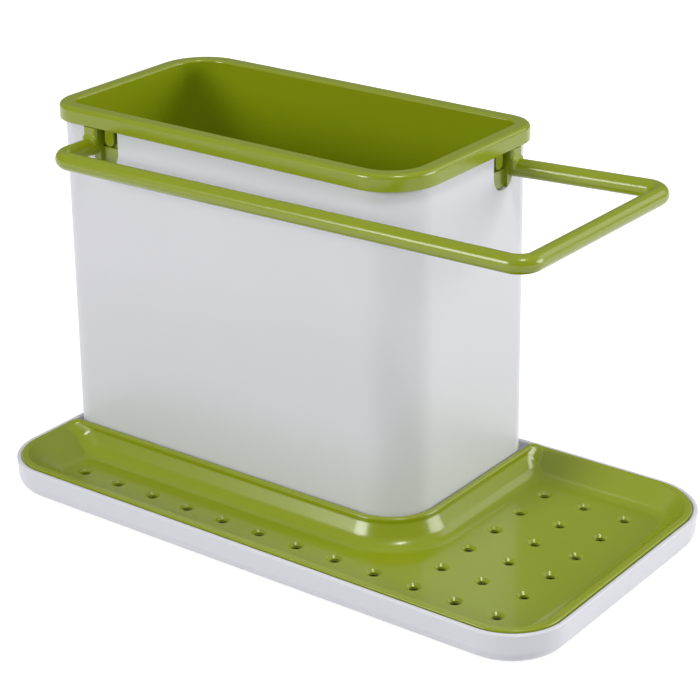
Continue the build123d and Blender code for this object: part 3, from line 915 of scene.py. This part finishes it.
class CADDY_OT_rail(bpy.types.Operator):
    """Build the green dishcloth rail with the two feet that hold it in the notches"""

    bl_idname = "caddy.rail"
    bl_label = "Dishcloth rail"

    def execute(self, context):
        scene = context.scene
        rail, box = scene.caddy_rail, scene.caddy_box
        radius = rail.diameter / 2
        notch_low = box_high.z - box.notch_depth
        height = notch_low + rail.rise
        (right_notch, _), (front_notch, _) = notch_places()
        wall_x, wall_y = right_notch.translation.x, front_notch.translation.y
        back = right_notch.translation.y + rail.arm_offset
        left = front_notch.translation.x - rail.arm_offset
        reach_x, reach_y = wall_x + rail.reach_right, wall_y - rail.reach_front
        piece = points_piece(
            "dishcloth_rail",
            [
                (wall_x - box.wall / 2, back, height),
                (reach_x + rail.right_splay, back + rail.back_splay, height),
                (reach_x, reach_y + rail.front_toe, height),
                (left, reach_y, height),
                (left, wall_y + box.wall / 2, height),
            ],
            [(i, i + 1) for i in range(4)],
        )
        green = finish("Green plastic")
        run_tree(piece, bar_tree(), {"Diameter": rail.diameter, "Bend": rail.bend, "Material": green})
        foot_top, depth = rail_feet_top(), rail_feet_depth()
        opening = box.notch_width - 2 * rail.gap
        inside, outside = -box.wall - SLIP, SLIP
        for place, side in notch_places():
            # Riser up to the bucket's skirt, flared where it stands on the bar
            arm, half = side * rail.arm_offset, radius - SHY
            loops = []
            for i in range(RISER_STEPS + 1):
                drop = rail.riser_flare * (1 - i / RISER_STEPS)
                flare = rail.riser_flare - (rail.riser_flare ** 2 - drop ** 2) ** 0.5
                y = height + radius + rail.riser_flare - drop if i else height
                front_edge = rail.riser_depth + (flare if i else rail.riser_flare)
                corners = [
                    (arm - half, -box.wall, FINE), (arm + half, -box.wall, FINE),
                    (arm + half, front_edge, rail.riser_round), (arm - half, front_edge, rail.riser_round),
                ]
                outline = rounded_outline(corners, [0.0] * 4, CORNER_STEPS)
                loops.append([place @ Vector((p.x, y, p.y)) for p in outline])
            loops.append([place @ Vector((p.x, foot_top, p.y)) for p in outline])
            combine(piece, "UNION", bevelled(lofted("riser", loops), EASED))
            # Nothing of the bar or the riser stays where the wall is
            span = box.notch_width / 2 + 2 * rail.diameter
            wall = block("wall", (-span, height - span, inside), (span, height + span, outside), place)
            through = u_outline(opening, notch_low + rail.gap, foot_top + SHY)
            combine(wall, "DIFFERENCE", prism("through", through, place, (inside - SLIP, outside + SLIP)))
            combine(piece, "DIFFERENCE", wall)
            # Neck that carries the bar through the notch: beside the bucket's post, and set back under it
            low = u_outline(opening - 2 * SHY, notch_low + rail.gap + SHY, foot_top - SHY)
            neck = prism("neck", low, place, (inside - rail.plate / 2, outside + SHY))
            start, end = sorted((side * rail.neck, -side * opening))
            split = box_high.z - scene.caddy_bucket.post_drop - rail.gap
            front = outside + SLIP
            beside = block("beside", (start, split, inside - rail.plate), (end, 2 * foot_top, front), place)
            set_back = block("set back", (start, 0.0, -rail.neck_set_back), (end, split + SLIP, front), place)
            combine(neck, "DIFFERENCE", beside, set_back)
            width = box.notch_width + 2 * rail.overlap
            behind = u_outline(width, notch_low - rail.overlap, foot_top - 2 * SHY)
            plate = prism("plate", behind, place, (-depth, -depth + rail.plate))
            combine(piece, "UNION", neck, plate)
        finished(piece, green, "rail", ["towel_rail"])
        return {"FINISHED"}


class CADDY_OT_stage(bpy.types.Operator):
    """Set the floor, the lamps, the world and the camera"""

    bl_idname = "caddy.stage"
    bl_label = "Stage"

    def lamp(self, name, power, size, place, target):
        data = bpy.data.lights.new(name, "AREA")
        data.energy, data.shape, data.size = power, "DISK", size
        lamp = placed(name, data)
        lamp.location = place
        lamp.rotation_euler = (Vector(target) - Vector(place)).to_track_quat("-Z", "Y").to_euler()

    def pale_floor(self, size):
        material = bpy.data.materials.new("Pale floor")
        tree = bare_tree(material)
        rays = node(tree, "ShaderNodeLightPath").outputs
        mirrored = maths(tree, "MAXIMUM", rays["Is Glossy Ray"], rays["Is Transmission Ray"])
        shown = maths(tree, "MAXIMUM", rays["Is Camera Ray"], mirrored)
        # The floor is grey to the lamps, and has a glow that only shows to the camera and in reflections
        grey, shine = (0.62, 0.62, 0.63, 1.0), 0.76
        paper = node(tree, "ShaderNodeBsdfDiffuse", {"Color": grey})
        strength = maths(tree, "MULTIPLY", shown, shine)
        glow = node(tree, "ShaderNodeEmission", {"Color": WHITE, "Strength": strength})
        both = node(tree, "ShaderNodeAddShader", {0: paper.outputs[0], 1: glow.outputs[0]})
        node(tree, "ShaderNodeOutputMaterial", {"Surface": both.outputs[0]})
        bm = bmesh.new()
        bmesh.ops.create_grid(bm, x_segments=4, y_segments=4, size=size / 2)
        floor = new_piece("floor", bm)
        floor.data.materials.append(material)

    def execute(self, context):
        scene = context.scene
        look = scene.caddy_stage
        self.pale_floor(look.floor_size)
        world = bpy.data.worlds.new("Pale room")
        tree = bare_tree(world)
        rays = node(tree, "ShaderNodeLightPath").outputs
        direction = node(tree, "ShaderNodeTexCoord").outputs["Generated"]
        aloft = node(tree, "ShaderNodeSeparateXYZ", {0: direction})
        height = node(tree, "ShaderNodeClamp", {"Value": aloft.outputs["Z"]}).outputs[0]
        # White to the camera, and a light that grows from the horizon to overhead on the caddy
        low_light, high_light, rise = 0.15, 0.38, 1.5
        overhead = maths(tree, "MULTIPLY", maths(tree, "POWER", height, rise), high_light)
        glow = maths(tree, "ADD", low_light, overhead)
        strength = maths(tree, "MAXIMUM", rays["Is Camera Ray"], glow)
        sky = node(tree, "ShaderNodeBackground", {"Color": WHITE, "Strength": strength})
        node(tree, "ShaderNodeOutputWorld", {"Surface": sky.outputs[0]})
        scene.world = world
        # Name, power in watts, diameter and place of each lamp
        for name, power, size, place in (
            ("Key", 6.5, 0.35, (0.62, -0.34, 1.50)),
            ("Front", 17.5, 0.8, (-0.65, -1.72, 0.75)),
            ("Side", 17.0, 1.0, (1.65, 0.95, 0.55)),
            ("Back", 2.8, 0.9, (0.75, 1.2, 0.85)),
        ):
            self.lamp(name, power, size, place, (0.0, 0.0, 0.06))
        data = bpy.data.cameras.new("Camera")
        data.lens, data.sensor_width = look.lens, 36.0
        data.clip_start, data.clip_end = 0.05, 20.0
        # The view that was fitted to the photograph's edges
        place = Vector((0.377896, -0.504494, 0.327890))
        target = Vector((0.004423, -0.004940, 0.060))
        back = (place - target).normalized()
        right = Vector((0.0, 0.0, 1.0)).cross(back).normalized()
        up = back.cross(right)
        turned_right = right * cos(look.roll) + up * sin(look.roll)
        turned_up = up * cos(look.roll) - right * sin(look.roll)
        matrix = Matrix((turned_right, turned_up, back)).transposed().to_4x4()
        matrix.translation = place
        scene.camera = placed("Camera", data)
        scene.camera.matrix_world = matrix
        scene.view_settings.view_transform = "Standard"
        return {"FINISHED"}


STEPS = (
    CADDY_OT_pan, CADDY_OT_feet, CADDY_OT_sponge_tray, CADDY_OT_container, CADDY_OT_bucket, CADDY_OT_rail,
    CADDY_OT_stage,
)


class CADDY_PT_sidebar(bpy.types.Panel):
    """The caddy's pieces, their sizes and colours"""

    bl_label = "Sink caddy"
    bl_idname = "CADDY_PT_sidebar"
    bl_space_type = "VIEW_3D"
    bl_region_type = "UI"
    bl_category = "Caddy"

    def draw(self, context):
        layout = self.layout
        for step in STEPS:
            layout.operator(step.bl_idname)
        for name, group in GROUPS.items():
            column = layout.column(align=True)
            column.label(text=name.removeprefix("caddy_").capitalize())
            for key in group.__annotations__:
                column.prop(getattr(context.scene, name), key)


def register():
    for kind in (*GROUPS.values(), *STEPS, CADDY_PT_sidebar):
        bpy.utils.register_class(kind)
    for name, group in GROUPS.items():
        setattr(bpy.types.Scene, name, PointerProperty(type=group))


def unregister():
    for name in GROUPS:
        delattr(bpy.types.Scene, name)
    for kind in reversed((*GROUPS.values(), *STEPS, CADDY_PT_sidebar)):
        bpy.utils.unregister_class(kind)


def main():
    register()
    for step in (
        bpy.ops.caddy.pan, bpy.ops.caddy.feet, bpy.ops.caddy.sponge_tray, bpy.ops.caddy.container,
        bpy.ops.caddy.bucket, bpy.ops.caddy.rail, bpy.ops.caddy.stage,
    ):
        step()


if __name__ == "__main__":
    main()
